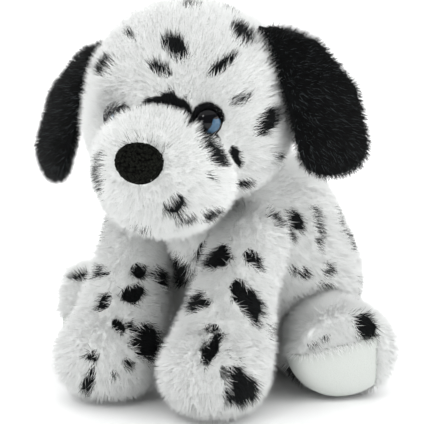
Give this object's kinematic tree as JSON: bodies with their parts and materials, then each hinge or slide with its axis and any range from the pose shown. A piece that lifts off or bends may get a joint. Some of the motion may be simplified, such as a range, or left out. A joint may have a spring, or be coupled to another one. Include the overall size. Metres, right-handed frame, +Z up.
{
  "type": "plush dog",
  "caption": "Sitting plush Dalmatian puppy with floppy ears, round muzzle, safety eyes and four stuffed legs, sewn from fur-fabric panels over fibre stuffing.",
  "frame": {"origin": "middle of the flat seat, on the surface the toy sits on", "axes": "+Z up, the body faces -Y, the toy's own left side is +X; the seat's outward normal is -Z"},
  "size_m": [0.2372, 0.2786, 0.2358],
  "materials": {
    "white_plush": "matte",
    "black_plush": "matte",
    "sole_cloth": "matte",
    "nose_knit": "matte",
    "fibre_fill": "matte",
    "bead_bag_cloth": "matte",
    "eye_plastic": "gloss",
    "eye_back_plastic": "matte",
    "washer_plastic": "matte",
    "eyelid_felt": "matte"
  },
  "bodies": {
    "torso": {"torso_base_panel": "white_plush", "torso_chest_panel": "white_plush", "torso_pellet_bag": "bead_bag_cloth", "torso_side_left": "white_plush", "torso_side_right": "white_plush", "torso_stuffing": "fibre_fill"},
    "neck": {"neck_skin": "white_plush", "neck_stuffing": "fibre_fill"},
    "head": {"chin_panel": "white_plush", "eye_left_dome": "eye_plastic", "eye_left_plate": "eye_back_plastic", "eye_left_washer": "washer_plastic", "eye_right_dome": "eye_plastic", "eye_right_plate": "eye_back_plastic", "eye_right_washer": "washer_plastic", "eyelid_left": "eyelid_felt", "eyelid_right": "eyelid_felt", "head_crown_gusset": "white_plush", "head_side_left": "white_plush", "head_side_right": "white_plush", "head_stuffing": "fibre_fill", "muzzle_left": "white_plush", "muzzle_right": "white_plush", "nose_cloth": "nose_knit", "nose_padding": "fibre_fill"},
    "ear_left": {"ear_left_inner": "black_plush", "ear_left_outer": "black_plush"},
    "ear_right": {"ear_right_inner": "black_plush", "ear_right_outer": "black_plush"},
    "front_leg_left": {"front_leg_left_inner": "white_plush", "front_leg_left_outer": "white_plush", "front_leg_left_stuffing": "fibre_fill", "front_paw_left_pellets": "bead_bag_cloth"},
    "front_leg_right": {"front_leg_right_inner": "white_plush", "front_leg_right_outer": "white_plush", "front_leg_right_stuffing": "fibre_fill", "front_paw_right_pellets": "bead_bag_cloth"},
    "hind_leg_left": {"hind_foot_left_sole": "sole_cloth", "hind_leg_left_lower": "white_plush", "hind_leg_left_stuffing": "fibre_fill", "hind_leg_left_upper": "white_plush"},
    "hind_leg_right": {"hind_foot_right_sole": "sole_cloth", "hind_leg_right_lower": "white_plush", "hind_leg_right_stuffing": "fibre_fill", "hind_leg_right_upper": "white_plush"},
    "tail": {"tail_left": "white_plush", "tail_right": "white_plush", "tail_stuffing": "fibre_fill"}
  },
  "joints": [
    {"name": "neck_turn", "type": "hinge", "parent": "torso", "child": "neck", "pos_m": [0, -0.072, 0.124], "axis": [0, 0, 1], "range_deg": [-12, 12], "stiffness_Nm_per_rad": 1},
    {"name": "head_nod", "type": "hinge", "parent": "neck", "child": "head", "pos_m": [0, -0.072, 0.124], "axis": [1, 0, 0], "range_deg": [-6, 8], "stiffness_Nm_per_rad": 2.5},
    {"name": "ear_left_flap", "type": "hinge", "parent": "head", "child": "ear_left", "pos_m": [0.04098, -0.0732, 0.222], "axis": [0.1908, -0.9816, 0], "range_deg": [0, 50]},
    {"name": "ear_right_flap", "type": "hinge", "parent": "head", "child": "ear_right", "pos_m": [-0.03755, -0.08847, 0.213], "axis": [-0.1908, 0.9816, 0], "range_deg": [0, 50]},
    {"name": "front_leg_left_swing", "type": "hinge", "parent": "torso", "child": "front_leg_left", "pos_m": [0.037, -0.074, 0.097], "axis": [-1, 0, 0], "range_deg": [0, 28], "stiffness_Nm_per_rad": 0.3},
    {"name": "front_leg_right_swing", "type": "hinge", "parent": "torso", "child": "front_leg_right", "pos_m": [-0.037, -0.074, 0.097], "axis": [-1, 0, 0], "range_deg": [0, 28], "stiffness_Nm_per_rad": 0.3},
    {"name": "hind_leg_left_lift", "type": "hinge", "parent": "torso", "child": "hind_leg_left", "pos_m": [0.052, -0.012, 0.028], "axis": [-0.7314, -0.682, 0], "range_deg": [0, 18], "stiffness_Nm_per_rad": 0.3},
    {"name": "hind_leg_right_lift", "type": "hinge", "parent": "torso", "child": "hind_leg_right", "pos_m": [-0.052, -0.012, 0.028], "axis": [-0.4384, 0.8988, 0], "range_deg": [0, 18], "stiffness_Nm_per_rad": 0.3},
    {"name": "tail_wag", "type": "hinge", "parent": "torso", "child": "tail", "pos_m": [0, 0.056, 0.04], "axis": [0, 0, 1], "range_deg": [-22, 22], "stiffness_Nm_per_rad": 0.03}
  ]
}
